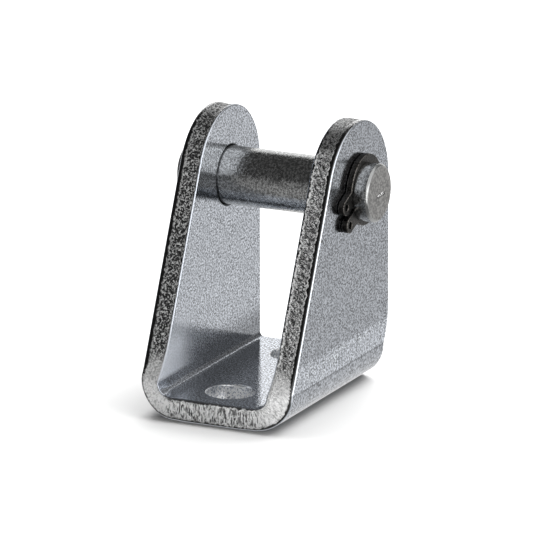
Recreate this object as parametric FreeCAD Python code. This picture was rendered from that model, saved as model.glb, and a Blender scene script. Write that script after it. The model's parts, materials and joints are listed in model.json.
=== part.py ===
import FreeCAD, Part
import math
import os

from FreeCAD import Vector

# Rear hinge bracket for a round pneumatic cylinder of 20 or 25 mm bore.
# One folded steel sheet with two ears, a loose pivot pin across them, and a
# retaining ring in a groove at each end of the pin.
# X runs along the pin, Y to the rear and Z up from the mounting face.
# The origin is the middle of the mounting face. All sizes are in millimetres.

# Folded sheet
sheet_thickness = 3.2
clevis_gap = 16.1
inner_bend_radius = 1.8
base_length = 32.0
pin_height = 28.4
tip_radius = 9.6
slope_foot_height = 1.5
foot_flare_radius = 15.0
foot_corner_radius = 1.2
outline_roll_radius = 0.25

# Folding stretches the outer side of the sheet and draws its cut ends back at each bend
draw_back_at_base = 0.3
draw_back_at_ear = 1.4
draw_back_length = 5.0

# Screw holes in the base, one behind the other
screw_hole_diameter = 6.6
screw_hole_spacing = 20.0

# The punch draws in the edge of each hole, which is cut here as a chamfer
hole_edge_chamfer = 0.25

# Pivot pin
pin_diameter = 8.0
pin_bore_clearance = 0.05
pin_axial_play = 0.1
pin_groove_width = 0.9
pin_groove_depth = 0.2
pin_end_land = 2.0
pin_end_chamfer = 0.27

# Retaining rings
ring_thickness = 0.8
ring_seat_clearance = 0.02
ring_back_width = 1.5
ring_shoulder_width = 0.6
lug_reach = 3.0
lug_width = 2.15
lug_hole_diameter = 1.0
lug_gap = 0.8
lug_root_radius = 0.5
ring_gap_angle = 202.5

# Places that follow from the sizes above
half_gap = clevis_gap / 2
ear_outer_x = half_gap + sheet_thickness
outer_bend_radius = inner_bend_radius + sheet_thickness
bend_axis_x = half_gap - inner_bend_radius
front_y = -base_length / 2
rear_y = base_length / 2
pin_y = rear_y - tip_radius
top_z = pin_height + tip_radius
pin_radius = pin_diameter / 2
pin_bore_radius = pin_radius + pin_bore_clearance
groove_radius = pin_radius - pin_groove_depth
groove_inner_x = ear_outer_x + pin_axial_play
groove_outer_x = groove_inner_x + pin_groove_width
pin_half_length = groove_outer_x + pin_end_land
ring_middle_x = (groove_inner_x + groove_outer_x) / 2
ring_inner_radius = groove_radius + ring_seat_clearance

along_x = Vector(1, 0, 0)
along_y = Vector(0, 1, 0)
along_z = Vector(0, 0, 1)
quarter_turn = math.pi / 2
near = 0.001
skim_clearance = 0.02


def in_xz(x, z):
    return Vector(x, front_y, z)


def in_yz(y, z):
    return Vector(0, y, z)


def line(start, end):
    return Part.LineSegment(start, end).toShape()


def arc(place, centre, radius, start_angle, end_angle):
    """Arc about a centre given as two coordinates, in the plane that place() puts points in."""
    points = []
    for angle in (start_angle, (start_angle + end_angle) / 2, end_angle):
        first = centre[0] + radius * math.cos(angle)
        second = centre[1] + radius * math.sin(angle)
        points.append(place(first, second))
    return Part.Arc(*points).toShape()


def skin(offset):
    """U-shaped line in the XZ plane: two uprights, two bends and the base between them.

    An offset of 0 follows the inner faces, and the sheet's thickness gives the outer ones."""
    radius = inner_bend_radius + offset
    upright_x = half_gap + offset
    base_z = sheet_thickness - offset
    return [
        line(in_xz(-upright_x, top_z), in_xz(-upright_x, outer_bend_radius)),
        arc(in_xz, (-bend_axis_x, outer_bend_radius), radius, -2 * quarter_turn, -quarter_turn),
        line(in_xz(-bend_axis_x, base_z), in_xz(bend_axis_x, base_z)),
        arc(in_xz, (bend_axis_x, outer_bend_radius), radius, -quarter_turn, 0),
        line(in_xz(upright_x, outer_bend_radius), in_xz(upright_x, top_z)),
    ]


def channel_section():
    """Closed section of the folded sheet, between its inner and its outer skin."""
    ends = []
    for side in (-1, 1):
        ends.append(line(in_xz(side * half_gap, top_z), in_xz(side * ear_outer_x, top_z)))
    edges = skin(0) + skin(sheet_thickness) + ends
    return Part.Face(Part.Wire(Part.__sortEdges__(edges)))


def sheared_outline():
    """Cut line of the blank, seen from the side: front foot, flare, slope, round tip, rear."""
    foot = Vector(front_y, slope_foot_height, 0)
    tip = Vector(pin_y, pin_height, 0)
    to_tip = tip - foot
    slope_angle = math.atan2(to_tip.y, to_tip.x) + math.asin(tip_radius / to_tip.Length)
    slope = Vector(math.cos(slope_angle), math.sin(slope_angle), 0)
    forward = Vector(-math.sin(slope_angle), math.cos(slope_angle), 0)

    # The flare leaves the upright foot at the top of the bend and runs into the slope.
    flare_start = Vector(front_y, outer_bend_radius, 0)
    stand_off = (flare_start - foot).dot(forward)
    reach = math.sqrt(2 * foot_flare_radius * stand_off - stand_off ** 2)
    flare_end = foot + slope * ((flare_start - foot).dot(slope) + reach)
    flare_centre = flare_end + forward * foot_flare_radius
    start_arm = flare_start - flare_centre
    start_angle = math.atan2(start_arm.y, start_arm.x)
    slope_side = slope_angle - quarter_turn
    tip_angle = slope_angle + quarter_turn
    tip_start = tip + Vector(math.cos(tip_angle), math.sin(tip_angle), 0) * tip_radius
    return [
        line(in_yz(front_y, 0), in_yz(flare_start.x, flare_start.y)),
        arc(in_yz, (flare_centre.x, flare_centre.y), foot_flare_radius, start_angle, slope_side),
        line(in_yz(flare_end.x, flare_end.y), in_yz(tip_start.x, tip_start.y)),
        arc(in_yz, (tip.x, tip.y), tip_radius, tip_angle, 0),
        line(in_yz(rear_y, pin_height), in_yz(rear_y, 0)),
    ]


def swept(edges, run):
    """Faces that a chain of edges leaves along a straight run."""
    return Part.Wire(Part.__sortEdges__(edges)).extrude(run)


def faces_on(shape, surface):
    """Faces of a shape that lie on a surface."""
    found = []
    for face in shape.Faces:
        u_low, u_high, v_low, v_high = face.ParameterRange
        middle = Part.Vertex(face.valueAt((u_low + u_high) / 2, (v_low + v_high) / 2))
        if middle.distToShape(surface)[0] < near:
            found.append(face)
    return found


def rim_edges(faces):
    """Edges round the outside of a group of touching faces."""
    edges = [edge for face in faces for edge in face.OuterWire.Edges]
    return [edge for edge in edges if sum(edge.isSame(other) for other in edges) == 1]


def hole_edges(faces):
    """Edges of the holes in a group of faces."""
    found = []
    for face in faces:
        for wire in face.Wires:
            if not wire.isSame(face.OuterWire):
                found.extend(wire.Edges)
    return found


def cylinder(axis, centre, radius, length):
    """Cylinder centred on a point, along an axis."""
    return Part.makeCylinder(radius, length, centre - axis * (length / 2), axis)


def edges_through(shape, places):
    """Edges whose middles are at given places, in y and z."""
    found = []
    for edge in shape.Edges:
        middle = edge.valueAt((edge.FirstParameter + edge.LastParameter) / 2)
        if any(math.hypot(middle.y - y, middle.z - z) < near for y, z in places):
            found.append(edge)
    return found


def front_edge_y(height):
    """Where the flared and sloping front edge lies at a height on the ear."""
    level = line(in_yz(front_y - base_length, height), in_yz(rear_y, height))
    front_edge = Part.Wire(Part.__sortEdges__(sheared_outline()[:3]))
    nearest_points = level.distToShape(front_edge)[1]
    return nearest_points[0][1].y


def draw_back_cutter(side, end):
    """Lofted wedge that leans a cut end of the sheet back towards the outer side of a bend.

    Its slices run from the base round the bend, where it is deepest, and fade out up the ear."""
    bend_axis = Vector(side * bend_axis_x, 0, outer_bend_radius)
    slices = [(bend_axis - along_x * (side * draw_back_length / 2), 0, 0)]
    for turn in (0, 45, 90):
        deeper = (draw_back_at_ear - draw_back_at_base) * math.sin(math.radians(turn))
        slices.append((bend_axis, turn, draw_back_at_base + deeper))
    for share in (1 / 3, 2 / 3, 1):
        centre = bend_axis + along_z * (draw_back_length * share)
        slices.append((centre, 90, draw_back_at_ear * (1 - share) ** 2))

    wires = []
    for centre, turn, depth in slices:
        angle = math.radians(turn)
        outward = Vector(side * math.sin(angle), 0, -math.cos(angle))
        end_y = front_edge_y(centre.z + near) if end < 0 else rear_y
        skim_y = end_y + end * skim_clearance
        inner_rim = centre + outward * inner_bend_radius + along_y * skim_y
        outer_rim = centre + outward * outer_bend_radius + along_y * (skim_y - end * depth)
        past_outer_rim = outer_rim + (outer_rim - inner_rim)
        clear_of_end = along_y * (end * sheet_thickness)
        corners = [inner_rim, past_outer_rim, past_outer_rim + clear_of_end, inner_rim + clear_of_end]
        wires.append(Part.makePolygon(corners + [corners[0]]))
    return Part.makeLoft(wires, True, False)


def clevis_bracket():
    """Sheet cut to its outline, folded to a U, and pierced for the pin and two screws.

    The blank's outline is drawn in on the outer side, and its holes on the inner side."""
    channel = channel_section().extrude(along_y * base_length)
    cut_line = sheared_outline()
    closing_line = line(in_yz(rear_y, 0), in_yz(front_y, 0))
    blank = Part.Face(Part.Wire(Part.__sortEdges__(cut_line + [closing_line])))
    blank.translate(along_x * -ear_outer_x)
    sheet = channel.common(blank.extrude(along_x * (2 * ear_outer_x)))
    sheet = sheet.makeFillet(foot_corner_radius, edges_through(sheet, [(front_y, outer_bend_radius)]))

    for side in (-1, 1):
        for end in (-1, 1):
            sheet = sheet.cut(draw_back_cutter(side, end))

    pin_centre = Vector(0, pin_y, pin_height)
    sheet = sheet.cut(cylinder(along_x, pin_centre, pin_bore_radius, 4 * ear_outer_x))
    for side in (-1, 1):
        hole_centre = Vector(0, side * screw_hole_spacing / 2, 0)
        sheet = sheet.cut(cylinder(along_z, hole_centre, screw_hole_diameter / 2, 4 * sheet_thickness))

    outer_faces = faces_on(sheet, swept(skin(sheet_thickness), along_y * base_length))
    sheet = sheet.makeFillet(outline_roll_radius, rim_edges(outer_faces))
    inner_faces = faces_on(sheet, swept(skin(0), along_y * base_length))
    sheet = sheet.makeChamfer(hole_edge_chamfer, hole_edges(inner_faces))
    return sheet.Solids[0]


def pivot_pin():
    """Turned pin with a chamfer and a ring groove at each end."""
    half_profile = [
        (groove_inner_x, pin_radius),
        (groove_inner_x, groove_radius),
        (groove_outer_x, groove_radius),
        (groove_outer_x, pin_radius),
        (pin_half_length - pin_end_chamfer, pin_radius),
        (pin_half_length, pin_radius - pin_end_chamfer),
        (pin_half_length, 0),
    ]
    right_half = [Vector(x, pin_y, pin_height + radius) for x, radius in half_profile]
    left_half = [Vector(-x, pin_y, pin_height + radius) for x, radius in reversed(half_profile)]
    outline = left_half + right_half
    section = Part.Face(Part.makePolygon(outline + [outline[0]]))
    return section.revolve(Vector(0, pin_y, pin_height), along_x, 360).Solids[0]


def retaining_ring(side):
    """External ring, widest opposite its gap, with a drilled lug on each side of the gap.

    It is laid out with the gap along +Y, then turned and moved into its groove."""
    mean_width = (ring_back_width + ring_shoulder_width) / 2
    outer_radius = ring_inner_radius + mean_width
    outer_shift = (ring_back_width - ring_shoulder_width) / 2
    lug_end_y = ring_inner_radius + lug_reach - lug_width / 2
    lug_middle_z = (lug_gap + lug_width) / 2
    ring = cylinder(along_x, Vector(0, -outer_shift, 0), outer_radius, ring_thickness)
    root_places = []
    for lug_side in (-1, 1):
        lug_end = Vector(0, lug_end_y, lug_side * lug_middle_z)
        arm_corner = Vector(-ring_thickness / 2, 0, lug_end.z - lug_width / 2)
        arm = Part.makeBox(ring_thickness, lug_end_y, lug_width, arm_corner)
        ring = ring.fuse([arm, cylinder(along_x, lug_end, lug_width / 2, ring_thickness)])
        root_z = lug_side * (lug_gap / 2 + lug_width)
        root_places.append((math.sqrt(outer_radius ** 2 - root_z ** 2) - outer_shift, root_z))
    ring = ring.removeSplitter()
    ring = ring.makeFillet(lug_root_radius, edges_through(ring, root_places))

    gap_corner = Vector(-ring_thickness, 0, -lug_gap / 2)
    gap = Part.makeBox(2 * ring_thickness, 2 * lug_end_y, lug_gap, gap_corner)
    bore = cylinder(along_x, Vector(), ring_inner_radius, 2 * ring_thickness)
    ring = ring.cut([gap, bore])
    for lug_side in (-1, 1):
        lug_end = Vector(0, lug_end_y, lug_side * lug_middle_z)
        ring = ring.cut(cylinder(along_x, lug_end, lug_hole_diameter / 2, 2 * ring_thickness))
    ring.rotate(Vector(), along_x, ring_gap_angle)
    ring.translate(Vector(side * ring_middle_x, pin_y, pin_height))
    return ring.Solids[0]


def save(shape, node):
    shape.exportStep(os.path.join("parts", node + ".step"))
    print(node, shape.ShapeType, "valid", shape.isValid(), "volume", round(shape.Volume, 2))


os.makedirs("parts", exist_ok=True)
save(clevis_bracket(), "clevis_bracket")
save(pivot_pin(), "pivot_pin")
save(retaining_ring(1), "retaining_ring_right")
save(retaining_ring(-1), "retaining_ring_left")
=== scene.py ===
"""Looks of a folded hinge bracket with a loose pivot pin and two retaining rings."""

import json
import math

import bpy
import numpy as np
from bpy.props import FloatProperty, FloatVectorProperty, IntProperty, PointerProperty
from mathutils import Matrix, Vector, geometry, noise


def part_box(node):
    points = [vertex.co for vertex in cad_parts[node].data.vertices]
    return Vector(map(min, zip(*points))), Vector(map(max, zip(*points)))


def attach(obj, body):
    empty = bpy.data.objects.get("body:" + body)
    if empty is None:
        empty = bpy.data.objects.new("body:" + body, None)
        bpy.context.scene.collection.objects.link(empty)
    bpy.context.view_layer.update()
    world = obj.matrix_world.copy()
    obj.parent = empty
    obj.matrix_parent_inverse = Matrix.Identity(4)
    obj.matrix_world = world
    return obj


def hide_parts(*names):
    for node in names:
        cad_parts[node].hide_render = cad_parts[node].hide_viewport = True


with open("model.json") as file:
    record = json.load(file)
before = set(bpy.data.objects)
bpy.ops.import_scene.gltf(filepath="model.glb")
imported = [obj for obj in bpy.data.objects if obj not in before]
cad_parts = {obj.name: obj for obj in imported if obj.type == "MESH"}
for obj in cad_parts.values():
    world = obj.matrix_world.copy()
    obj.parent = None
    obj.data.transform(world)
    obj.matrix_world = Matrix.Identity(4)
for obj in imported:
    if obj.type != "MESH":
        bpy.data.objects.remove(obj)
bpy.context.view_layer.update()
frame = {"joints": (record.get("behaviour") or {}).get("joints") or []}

bl_info = {
    "name": "Folded Hinge Bracket",
    "version": (1, 0, 0),
    "blender": (4, 5, 0),
    "location": "View3D > Sidebar > Hinge Bracket",
    "description": "Dresses a folded sheet bracket, its pivot pin and its retaining rings",
    "category": "Object",
}

# Places taken from the frame, in metres
sheet_low, sheet_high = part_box("clevis_bracket")
pin_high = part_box("pivot_pin")[1]
ring_low, ring_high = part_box("retaining_ring_right")
PIN_Y, PIN_Z = frame["joints"][0]["pos_m"][1:]
PIN_END_X = pin_high.x
RING_X = (ring_low.x + ring_high.x) / 2
RING_THICKNESS = ring_high.x - ring_low.x
EAR_OUTER_X = sheet_high.x
FRONT_Y = sheet_low.y
REAR_Y = sheet_high.y
TIP_RADIUS = REAR_Y - PIN_Y

MM = 0.001
QUARTER_TURN = math.pi / 2

# Where the inside of each bend narrows, and the mesh points that it has there from front to rear
TIGHTENS = (FRONT_Y + 0.6 * MM, FRONT_Y + 3.6 * MM)
BEND_POINTS_Y = FRONT_Y + np.arange(1.2, 5.0, 0.6) * MM

# Width, length and slant of the tears on the base, the right ear and the left ear, and the
# distance from the middle of the base over which the base's tears give way to the ears' own
TEARS = (
    (0.26 * MM, 1.20 * MM, math.radians(4)),
    (0.30 * MM, 0.90 * MM, math.radians(38)),
    (0.22 * MM, 0.34 * MM, math.radians(-20)),
)
TEARS_CHANGE = (5 * MM, 9 * MM)

# Ragged borders of the torn metal, on the sheared band and the inner lip: length and depth of their
# waves, how many mesh points the lip's waves are shifted by, the borders' blur, and the lip's width
WAVE_LENGTH = 0.7 * MM
BAND_WAVE = 0.22 * MM
LIP_WAVE = 0.30 * MM
LIP_SHIFT = 37
BLUR = 0.06 * MM
LIP_WIDTH = 0.42 * MM

# Heights over which the cut turns smooth towards the right tip
SMOOTH_TIP = (34.5 * MM, 36 * MM)

# Share of an edge's direction that has to point to the front or rear for the edge to lean
LEANS_ABOVE = 0.3

# The cut ends of the pin: spacing and depth of their turning rings, depth of their dish, and the
# place, half size and depth of the nick, each across and then up
TURNING_SPACING = 0.16 * MM
TURNING_DEPTH = 0.004 * MM
DISH_DEPTH = 0.03 * MM
NICK_PLACE = (0.55 * MM, -0.35 * MM)
NICK_HALF_SIZE = (1.5 * MM, 0.35 * MM)
NICK_DEPTH = 0.12 * MM
SHARP_ANGLE = math.radians(28)

# Mesh points round and through a hole, from rim to centre of a pin end, and on the retaining rings
HOLE_SEGMENTS = 128
HOLE_ROWS = 10
PIN_END_RINGS = 24
RING_STEP = 0.08 * MM
LUG_HOLE_SEGMENTS = 28

# The studio, in metres, apart from the camera's sensor in millimetres
FLOOR_HALF_WIDTH = 3.0
FLOOR_GAP = 0.02 * MM
KEY_SIZE = 0.9
KEY_PLACE = (-0.01, 0.44, 0.5)
SENSOR_WIDTH = 36.0

# How a flat panel is filled: only inside its outline, with closer points than this, in mm, as one
INSIDE_THE_OUTLINE = 1
SAME_POINT = 1e-7


def metres(name, description, default):
    """A length that a user can change."""
    return FloatProperty(name=name, description=description, default=default, unit="LENGTH", precision=5)


def degrees(name, description, default):
    """An angle that a user can change, with its default in degrees."""
    return FloatProperty(
        name=name, description=description, default=math.radians(default), subtype="ANGLE")


def tint(name, description, default):
    """A colour that a user can change."""
    return FloatVectorProperty(name=name, description=description, default=default, subtype="COLOR")


class BracketSheet(bpy.types.PropertyGroup):
    """Sizes of the folded sheet and of the relief on its cut edges."""

    thickness: metres("Thickness", "Thickness of the sheet", 0.0032)
    inner_bend_radius: metres("Inner bend radius", "Radius inside each bend", 0.0018)
    tight_bend_radius: metres("Tight bend radius", "Radius inside each bend behind its front end", 0.0007)
    foot_height: metres("Slope foot", "Height where the slope's line meets the front", 0.0015)
    flare_radius: metres("Flare radius", "Hollow curve between the foot and the slope", 0.015)
    corner_radius: metres("Foot corner radius", "Round corner at the top of the foot", 0.0012)
    lean_at_base: metres(
        "Lean at the base", "How far the cut end leans back where a bend leaves the base", 0.0003)
    lean_at_ear: metres(
        "Lean at the ear", "How far the cut end leans back where a bend meets the ear", 0.0014)
    lean_length: metres("Lean length", "How far up the ear the lean fades out", 0.005)
    roll_depth: metres("Roll depth", "How far the outer edge of the cut is drawn in", 0.00025)
    roll_height: metres("Roll height", "How far down the cut the drawn-in edge reaches", 0.0004)
    burr_radius: metres("Inner edge radius", "Small radius along the inner edge of the cut", 0.0002)
    smooth_band: metres(
        "Sheared band", "Width of the smooth sheared band next to the drawn-in edge", 0.00035)
    tear_depth: metres("Tear depth", "Depth of the torn part of the cut", 0.0002)
    cut_step: metres("Cut step", "Distance between mesh points along the cut", 0.00015)
    cut_rows: IntProperty(
        name="Cut rows", description="Mesh points across the straight part of the cut", default=24)
    screw_hole_diameter: metres("Screw holes", "Diameter of the screw holes", 0.0066)
    screw_hole_spacing: metres("Screw hole spacing", "Distance between the screw holes", 0.020)
    bore_clearance: metres("Bore clearance", "Gap round the pin in each ear", 0.00005)
    hole_roll: metres("Screw hole edge", "Radius of the drawn-in edge of each screw hole", 0.00025)
    bore_roll: metres("Bore edge", "Radius of the drawn-in edge of each pin bore", 0.00035)


class TurnedPin(bpy.types.PropertyGroup):
    """Sizes of the pivot pin."""

    diameter: metres("Diameter", "Diameter of the pin", 0.008)
    groove_depth: metres("Groove depth", "Depth of each ring groove", 0.0002)
    groove_width: metres("Groove width", "Width of each ring groove", 0.0009)
    end_chamfer: metres("End chamfer", "Chamfer at each end", 0.00027)
    segments: IntProperty(name="Segments", description="Mesh points round the pin", default=160)


class RetainingRing(bpy.types.PropertyGroup):
    """Sizes of the two retaining rings."""

    seat_clearance: metres("Seat clearance", "Gap between the ring and its groove", 0.00002)
    back_width: metres("Back width", "Width opposite the gap", 0.0015)
    shoulder_width: metres("Shoulder width", "Width next to the lugs", 0.0006)
    lug_reach: metres("Lug reach", "How far the lugs stand out", 0.003)
    lug_width: metres("Lug width", "Width of each lug", 0.00215)
    lug_hole_diameter: metres("Lug holes", "Diameter of the plier holes", 0.001)
    lug_gap: metres("Gap", "Gap between the lugs", 0.0008)
    root_radius: metres("Lug root radius", "Hollow corner beside each lug", 0.0005)
    edge_radius: metres("Edge radius", "Round edge left by stamping", 0.00008)
    gap_angle: degrees("Gap angle", "Where the gap points, from the rear upwards", 202.5)


class BracketColours(bpy.types.PropertyGroup):
    """Colours of the finishes."""

    zinc: tint("Zinc", "Zinc plating on the sheet", (0.60, 0.63, 0.68))
    cut_edge: tint("Cut edge", "Zinc plating in the torn cut edges", (0.40, 0.403, 0.402))
    pin: tint("Pin", "Side of the pin", (0.60, 0.605, 0.60))
    pin_end: tint("Pin end", "Cut ends of the pin", (0.37, 0.365, 0.357))
    ring: tint("Rings", "Dark phosphate on the rings", (0.030, 0.028, 0.026))
    floor: tint("Floor", "Studio floor", (0.38, 0.38, 0.38))


class BracketStudio(bpy.types.PropertyGroup):
    """Camera and light."""

    camera_azimuth: degrees(
        "Camera azimuth", "Camera's place round the part, from the front to the right", 25.55)
    camera_elevation: degrees("Camera elevation", "Camera's height over the horizon", 15.82)
    camera_distance: FloatProperty(
        name="Camera distance", description="Distance from the camera to the part", default=1.3,
        unit="LENGTH")
    lens: FloatProperty(
        name="Lens", description="Focal length of the camera", default=652.0, unit="CAMERA")
    aim: FloatVectorProperty(
        name="Aim", description="Point in the middle of the picture", default=(0.000169, 0.000684, 0.017921),
        subtype="TRANSLATION", precision=5)
    key_power: FloatProperty(
        name="Key light", description="Power of the light behind the part", default=33.0, unit="POWER")


def add(beside, kind, inputs=None, **settings):
    """Adds a node to a tree, or beside a node or an output of that tree.

    Inputs take values or other nodes' outputs, and settings are set on the node itself."""
    tree = beside if isinstance(beside, bpy.types.NodeTree) else beside.id_data
    node = tree.nodes.new(kind)
    for name, value in settings.items():
        setattr(node, name, value)
    for name, value in (inputs or {}).items():
        if isinstance(value, bpy.types.NodeSocket):
            tree.links.new(value, node.inputs[name])
        else:
            node.inputs[name].default_value = value
    return node


def feed(shader, name, value):
    """Links an output to an input of a shader."""
    shader.id_data.links.new(value, shader.inputs[name])


def maths(operation, first, second=0.0):
    """Output of a Math node."""
    beside = first if isinstance(first, bpy.types.NodeSocket) else second
    return add(beside, "ShaderNodeMath", {0: first, 1: second}, operation=operation).outputs[0]


def product(*factors):
    """Output that multiplies values and other nodes' outputs."""
    total = factors[0]
    for factor in factors[1:]:
        total = maths("MULTIPLY", total, factor)
    return total


def ramp(value, low, high, start=0.0, end=1.0):
    """Output of a smooth step between two values."""
    inputs = {"Value": value, "From Min": low, "From Max": high, "To Min": start, "To Max": end}
    return add(value, "ShaderNodeMapRange", inputs, interpolation_type="SMOOTHSTEP").outputs[0]


def mixed(share, first, second):
    """Output of a colour mix."""
    return add(share, "ShaderNodeMix", {0: share, 6: first, 7: second}, data_type="RGBA").outputs[2]


def tones(share, colour, first, second):
    """Output of one colour in two tones, the second where share is 1."""
    return mixed(share, shade(colour, first), shade(colour, second))


def toned(share, colour, factor):
    """Output of a colour made lighter or darker where share is 1."""
    inputs = {0: share, 6: colour, 7: (factor, factor, factor, 1.0)}
    return add(share, "ShaderNodeMix", inputs, data_type="RGBA", blend_type="MULTIPLY").outputs[2]


def mixed_value(share, first, second):
    """Output of a number mix."""
    return add(share, "ShaderNodeMix", {0: share, 2: first, 3: second}, data_type="FLOAT").outputs[0]


def split(place):
    """The x, y and z outputs of a place."""
    return add(place, "ShaderNodeSeparateXYZ", {0: place}).outputs


def stretched(place, scale):
    """A texture place stretched by a different factor along each axis."""
    return add(place, "ShaderNodeMapping", {"Vector": place, "Scale": scale}).outputs[0]


def grain(place, size, detail=3.0, roughness=0.55, swirl=0.0):
    """Output of a noise whose lumps have a size in metres."""
    inputs = {
        "Vector": place, "Scale": 1 / size, "Detail": detail, "Roughness": roughness, "Distortion": swirl}
    return add(place, "ShaderNodeTexNoise", inputs).outputs[0]


def shade(colour, factor):
    """A colour made lighter or darker, with its alpha."""
    return (*(min(1.0, part * factor) for part in colour), 1.0)


def new_finish(name):
    """An empty material with its shader."""
    finish = bpy.data.materials.new(name)
    finish.use_nodes = True
    shader = finish.node_tree.nodes["Principled BSDF"]
    shader.inputs["Metallic"].default_value = 1.0
    return finish, shader


def attribute(beside, name, output="Fac"):
    """Output of the values that a piece holds at its points."""
    return add(beside, "ShaderNodeAttribute", attribute_name=name).outputs[output]


def object_place(beside):
    """Places on the piece itself, in metres."""
    return add(beside, "ShaderNodeTexCoord").outputs["Object"]


def feed_bumps(shader, height, distance=1.0):
    """Gives a shader bumps of a height."""
    inputs = {"Height": height, "Strength": 1.0, "Distance": distance}
    feed(shader, "Normal", add(height, "ShaderNodeBump", inputs).outputs[0])


def new_piece(name, points, faces, finish, normals=None, values=None):
    """A smooth mesh piece from points and faces, with values at its points for its finish."""
    mesh = bpy.data.meshes.new(name)
    mesh.from_pydata([tuple(point) for point in points], [], faces)
    mesh.polygons.foreach_set("use_smooth", [True] * len(mesh.polygons))
    mesh.materials.append(finish)
    mesh.validate()
    if normals is not None:
        mesh.normals_split_custom_set_from_vertices([tuple(normal) for normal in normals])
    piece = bpy.data.objects.new(name, mesh)
    bpy.context.scene.collection.objects.link(piece)
    for field, numbers in (values or {}).items():
        add_values(piece, field, numbers)
    return piece


def add_values(piece, name, values):
    """Numbers or vectors at each point of a piece, for its finish."""
    kind = "FLOAT_VECTOR" if np.ndim(values) == 2 else "FLOAT"
    field = "vector" if np.ndim(values) == 2 else "value"
    holder = piece.data.attributes.new(name, kind, "POINT")
    holder.data.foreach_set(field, np.asarray(values, np.float32).ravel())


def steps_along(start, end, step):
    """Evenly spaced values from start to end, both included."""
    count = max(1, math.ceil(abs(end - start) / step))
    return np.linspace(start, end, count + 1)


def smooth_step(value, low, high):
    """0 below low, 1 above high and smooth between them."""
    share = np.clip((value - low) / (high - low), 0, 1)
    return share * share * (3 - 2 * share)


class Fold:
    """The fold: takes the flat blank's along, across and depth to the folded sheet.

    Along runs from ear to ear with 0 in the middle of the base, across runs to the rear, and
    depth goes from the inner face to the outer one."""

    def __init__(self, sheet):
        self.sheet = sheet
        self.thickness = sheet.thickness
        self.axis_x = EAR_OUTER_X - sheet.thickness - sheet.inner_bend_radius
        self.axis_z = sheet.thickness + sheet.inner_bend_radius
        self.length = QUARTER_TURN * (sheet.inner_bend_radius + sheet.thickness / 2)
        self.ear_start = self.axis_x + self.length

    def along_at_height(self, height):
        """Place on the blank of a height in an ear."""
        return self.ear_start + height - self.axis_z

    def turn(self, along):
        """Angle of the fold, 0 in the base and a quarter turn in an ear."""
        return np.clip((np.abs(along) - self.axis_x) / self.length, 0, 1) * QUARTER_TURN

    def outward(self, along):
        """Direction from the inner face to the outer one, as x and z."""
        turn = self.turn(along)
        return np.sign(along) * np.sin(turn), -np.cos(turn)

    def lean(self, along):
        """How far a cut end leans back at the outer face."""
        sheet = self.sheet
        distance = np.abs(along)
        run_in = smooth_step(distance, self.axis_x - sheet.lean_length / 2, self.axis_x)
        deeper = (sheet.lean_at_ear - sheet.lean_at_base) * np.sin(self.turn(along))
        fade = 1 - np.clip((distance - self.ear_start) / sheet.lean_length, 0, 1)
        return (sheet.lean_at_base * run_in + deeper) * fade ** 2

    def place(self, along, across, depth):
        """Places on the folded sheet, as x, y and z."""
        distance = np.abs(along)
        turn = self.turn(along)
        sin, cos = np.sin(turn), np.cos(turn)
        full = self.sheet.inner_bend_radius
        radius = full + depth
        height = np.maximum(distance - self.ear_start, 0)
        tight_x, tight_z, _ = self.tight_corner(turn, across)
        share = 1 - smooth_step(depth, 0, self.thickness / 2)
        x = np.minimum(distance, self.axis_x) + radius * sin + share * (tight_x - full * sin)
        z = self.axis_z - radius * cos + height + share * (tight_z + full * cos)
        return np.stack([np.sign(along) * x, across, z], -1)

    def tight_corner(self, turn, across):
        """Inner side of the bend from its axis, as x and z, and the way that it faces there.

        Its radius is full at the front end and tight behind it."""
        full, tight = self.sheet.inner_bend_radius, self.sheet.tight_bend_radius
        radius = full + (tight - full) * smooth_step(across, *TIGHTENS)
        flat = full - radius
        path = turn / QUARTER_TURN * (2 * flat + radius * QUARTER_TURN)
        angle = np.clip((path - flat) / radius, 0, QUARTER_TURN)
        x = np.minimum(path, flat) + radius * np.sin(angle)
        z = np.maximum(path - flat - radius * QUARTER_TURN, 0) - flat - radius * np.cos(angle)
        return x, z, angle

    def inner_normals(self, along, across):
        """Directions square to the inner face."""
        angle = self.tight_corner(self.turn(along), across)[2]
        return np.stack([-np.sign(along) * np.sin(angle), np.zeros(angle.shape), np.cos(angle)], -1)


def arc_points(centre, radius, start, end, step):
    """Points along an arc, both ends included."""
    angles = steps_along(start, end, step / radius)
    return np.stack([centre[0] + radius * np.cos(angles), centre[1] + radius * np.sin(angles)], -1)


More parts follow.
